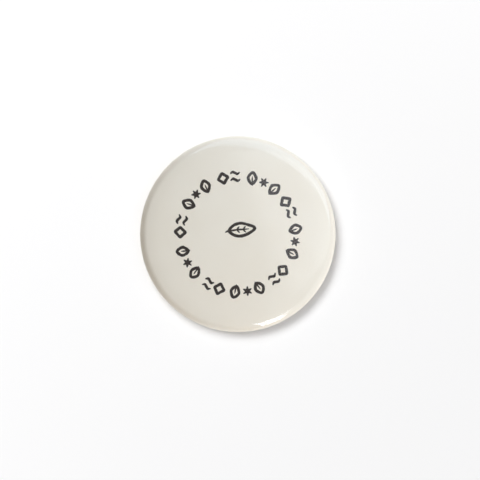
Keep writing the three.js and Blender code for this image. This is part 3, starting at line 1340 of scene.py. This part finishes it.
@dataclass
class PinCap:
    """The pin's folded cap: open at its mouth, and under the guard on the arm's side."""

    mouth: float = -10.2
    end: float = -17.2
    bottom: float = 0.32
    top: float = 2.95
    half_width: float = 2.78
    metal: float = 0.27
    corner: float = 1.3
    fold: float = 0.55
    pinch: float = 0.3
    pinch_back: float = 1.5
    pinch_reach: float = 3.5
    pinch_width: float = 0.55
    guard_bottom: float = 1.75
    guard_end: float = -16.6
    body_steps: int = 10
    nose_steps: int = 8

    def build(self) -> Piece:
        """Builds the cap as a folded sheet with its wall inwards."""
        shape = bmesh.new()
        sections = []
        for station in self._stations():
            sections.append([shape.verts.new(Vector(p) * MM) for p in self._section(*station)])
        count = len(sections[0])
        for a, b in zip(sections, sections[1:]):
            for k in range(count):
                shape.faces.new((a[k], b[k], b[(k + 1) % count], a[(k + 1) % count]))
        shape.faces.new(sections[-1])
        bmesh.ops.recalc_face_normals(shape, faces=shape.faces)
        gate = [f for f in shape.faces if self._in_gate(f.calc_center_median() / MM)]
        bmesh.ops.delete(shape, geom=gate, context="FACES")
        cap = new_object("pin_folded_cap", to_mesh("pin_folded_cap", shape))
        thicken(cap, self.metal, offset=-1.0)
        break_edges(cap, least_fold=50.0)
        shaded(applied(cap).data)
        return cap

    def _stations(self) -> list[tuple[float, float]]:
        """Where the sections lie along X, and how far each has drawn in towards the closed end."""
        run = self.mouth - self.end - self.corner
        body = [(self.mouth - run * i / self.body_steps, 0.0) for i in range(self.body_steps + 1)]
        turn = [math.radians(90 * i / self.nose_steps) for i in range(1, self.nose_steps + 1)]
        nose = [(self.end + self.corner * (1 - math.sin(a)), 1 - math.cos(a)) for a in turn]
        return body + nose

    def _section(self, x: float, drawn_in: float) -> list[Point3]:
        """A rounded rectangle in the Y-Z plane, pinched in the middle near the mouth.

        Args:
            x: where it lies.
            drawn_in: 0 on the body and 1 at the closed end.

        Returns:
            Its points, in order round it.
        """
        half_w = self.half_width - self.corner * drawn_in
        half_h = (self.top - self.bottom) / 2 - self.fold * drawn_in
        fold = min(self.fold, half_h * 0.8)
        middle = (self.top + self.bottom) / 2
        near_mouth = max(0.0, 1 - abs(x - self.mouth + self.pinch_back) / self.pinch_reach)
        points = []
        for centre_y, centre_z, start in ((1, 1, 90), (-1, 1, 180), (-1, -1, 270), (1, -1, 360)):
            centre = (centre_y * (half_w - fold), centre_z * (half_h - fold))
            points += arc(centre, fold, start - 90, start, 5)
            points += self._edge_points(half_w - fold, half_h - fold, fold, start)
        pinched = []
        for y, z in points:
            dent = self.pinch * near_mouth * math.exp(-((y / self.pinch_width) ** 2))
            pinched.append((x, y, middle + z - math.copysign(dent, z) * (abs(z) > half_h * 0.9)))
        return pinched

    @staticmethod
    def _edge_points(run_y: float, run_z: float, fold: float, start: int) -> list[Point2]:
        """Points along the flat side between a corner and the next.

        Args:
            run_y: half the flat top's width.
            run_z: half the flat side's height.
            fold: the corner's radius.
            start: the angle at which the corner ends, in degrees.

        Returns:
            The points.
        """
        if start in (90, 270):
            sign = 1 if start == 90 else -1
            return [(sign * run_y * (1 - i / 6), sign * (run_z + fold)) for i in range(1, 12)]
        sign = -1 if start == 180 else 1
        return [(sign * (run_y + fold), -sign * run_z * (1 - i / 3)) for i in range(1, 6)]

    def _in_gate(self, place: Vector) -> bool:
        """Whether a place on the cap lies in the opening that the arm swings out of."""
        under_guard = self.bottom + self.fold < place.z < self.guard_bottom
        on_side = place.y < self.metal - self.half_width
        return under_guard and on_side and place.x > self.guard_end


# ---------------------------------------------------------------- studio


@dataclass(frozen=True)
class Softbox:
    """An oblong light that faces the middle of the badge; its distance and size are in metres."""

    name: str
    tilt: float
    azimuth: float
    distance: float
    size: Point2
    power: float
    colour: Colour = (1, 1, 1)

    def place(self) -> Piece:
        """Hangs the light: tilt is from straight above and azimuth from +X, both in degrees."""
        data = bpy.data.lights.new(self.name, "AREA")
        data.shape = "RECTANGLE"
        data.size, data.size_y = self.size
        data.energy = self.power
        data.color = self.colour
        tilt, azimuth = math.radians(self.tilt), math.radians(self.azimuth)
        out = math.sin(tilt)
        away = Vector((out * math.cos(azimuth), out * math.sin(azimuth), math.cos(tilt)))
        lamp = bpy.data.objects.new(self.name, data)
        bpy.context.scene.collection.objects.link(lamp)
        lamp.visible_camera = False
        lamp.location = away * self.distance
        lamp.rotation_euler = away.to_track_quat("Z", "Y").to_euler()
        return lamp


@dataclass
class Studio:
    """The table, whose size is in metres, the lights, and the camera straight above the badge."""

    table: WhiteTable = field(default_factory=WhiteTable)
    table_size: float = 6.0
    ambient: float = 0.166
    ambient_tone: Colour = (1.08, 0.985, 0.83)
    lens: float = 100.0
    sensor: float = 36.0
    view_width: float = 141.8
    rim_height: float = 1.7
    aim: Point2 = (0.62, -1.71)

    def build(self) -> None:
        """Sets everything up."""
        self._world()
        table = self._lay_table()
        self._lights(table)
        self._camera()

    def _lay_table(self) -> Piece:
        """Lays the table under the badge, and returns it."""
        shape = bmesh.new()
        bmesh.ops.create_grid(shape, x_segments=2, y_segments=2, size=self.table_size / 2)
        table = new_object("white_table", to_mesh("white_table", shape))
        table.data.materials.append(self.table.material())
        return table

    def _world(self) -> None:
        """A soft dim surround that the camera sees as white."""
        world = bpy.data.worlds.new("studio")
        world.use_nodes = True
        world.node_tree.nodes.clear()
        tree = NodeTree(world.node_tree)
        dim = {"Color": self.ambient_tone, "Strength": self.ambient}
        soft = tree.node("ShaderNodeBackground", sockets=dim)
        seen = tree.node("ShaderNodeBackground", sockets={"Color": (1, 1, 1), "Strength": 1.0})
        path = tree.node("ShaderNodeLightPath")
        mixed = tree.node("ShaderNodeMixShader", sockets={"Fac": path.outputs["Is Camera Ray"]})
        tree.feed(mixed.inputs[1], soft.outputs[0])
        tree.feed(mixed.inputs[2], seen.outputs[0])
        tree.node("ShaderNodeOutputWorld", sockets={"Surface": mixed.outputs[0]})
        bpy.context.scene.world = world
        bpy.context.scene.view_settings.view_transform = "Standard"

    def _lights(self, table: Piece) -> None:
        """Hangs two lights that light only the table, and four that light all but the table."""
        on_table = bpy.data.collections.new("lit_table")
        on_table.objects.link(table)
        off_table = bpy.data.collections.new("lit_badge")
        off_table.objects.link(table)
        off_table.collection_objects[0].light_linking.link_state = "EXCLUDE"
        table_lights = (
            Softbox("table_key", 41, 130, 1.4, (1.15, 0.5), 17.1, (0.99, 1.0, 1.01)),
            Softbox("table_fill", 14, -50, 1.0, (2.0, 2.0), 6.95, (0.97, 1.0, 1.08)),
        )
        badge_lights = (
            Softbox("window", 54, 64, 0.7, (1.25, 0.75), 5.85, (0.83, 0.99, 1.22)),
            Softbox("window_return", 64, -50, 0.7, (0.6, 0.8), 0.6, (0.82, 0.98, 1.24)),
            Softbox("veil", 26, 24, 0.6, (0.44, 0.44), 0.74, (0.97, 1.0, 1.05)),
            Softbox("gloss_strip", 59, -68.5, 0.45, (0.115, 0.37), 1.15, (0.93, 1.0, 1.12)),
        )
        for lights, receivers in ((table_lights, on_table), (badge_lights, off_table)):
            for light in lights:
                light.place().light_linking.receiver_collection = receivers

    def _camera(self) -> None:
        """Looks straight down, with the top of the printed face upwards."""
        camera = bpy.data.cameras.new("main_camera")
        camera.lens = self.lens
        camera.sensor_width = self.sensor
        camera.clip_start = 0.01
        seat = bpy.data.objects.new("main_camera", camera)
        bpy.context.scene.collection.objects.link(seat)
        distance = self.view_width * self.lens / self.sensor
        seat.location = Vector((*self.aim, self.rim_height + distance)) * MM
        bpy.context.scene.camera = seat


# ---------------------------------------------------------------- the badge


@dataclass
class Badge:
    """The whole badge, put together from the outside in."""

    film_thickness: float = 0.08
    paper_thickness: float = 0.14
    metal: float = 0.28
    layer_gap: float = 0.05
    fine_segments: int = 480
    shell_segments: int = 160

    def build(self) -> None:
        """Builds and dresses every piece."""
        _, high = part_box("clear_film")
        skin = Skin(radius=high[0] / MM, height=high[2] / MM)
        tree = StrokeTree()
        self._layers(skin)
        FacePrint(skin, self.film_thickness + self.layer_gap).dressed(tree)
        plate = BackPlate(metal=self.metal).build()
        dress(plate, Tinplate("back_tinplate").material(), Body.BADGE, Slot.PLATE, "back_plate")
        pin = SafetyPin()
        nickel = Nickel("nickel_wire").material()
        dress(pin.leg(tree), nickel, Body.PIN, Slot.WIRE, "pin_wire")
        dress(pin.arm(tree), nickel, Body.ARM, Slot.WIRE, "pin_arm")
        cap_nickel = Nickel("nickel_cap", grain_scale=(1, 0.05, 1), roughness=0.2).material()
        dress(PinCap().build(), cap_nickel, Body.PIN, Slot.CAP, "pin_cap")

    def _layers(self, skin: Skin) -> None:
        """Wraps the shell in paper and film, under the badge's outer surface."""
        paper_inset = self.film_thickness + self.layer_gap
        shell_inset = paper_inset + self.paper_thickness + self.layer_gap
        pleats = Pleats()
        fine = self.fine_segments
        film = WrappedLayer("film_skin", skin, 0.0, self.film_thickness, fine, pleats)
        dress(film.build(), ClearFilm().material(), Body.BADGE, Slot.FILM, "clear_film")
        paper = WrappedLayer("paper_skin", skin, paper_inset, self.paper_thickness, fine, pleats)
        dress(paper.build(), CreamPaper().material(), Body.BADGE, Slot.PAPER, "printed_disc")
        shell = WrappedLayer("shell_skin", skin, shell_inset, self.metal, self.shell_segments)
        dress(shell.build(), Tinplate("shell_tinplate").material(), Body.BADGE, Slot.SHELL, "front_shell")


def main() -> None:
    """Builds the badge and the studio."""
    logging.basicConfig(level=logging.INFO, format="%(name)s: %(message)s")
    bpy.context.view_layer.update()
    Badge().build()
    Studio().build()


if __name__ == "__main__":
    main()
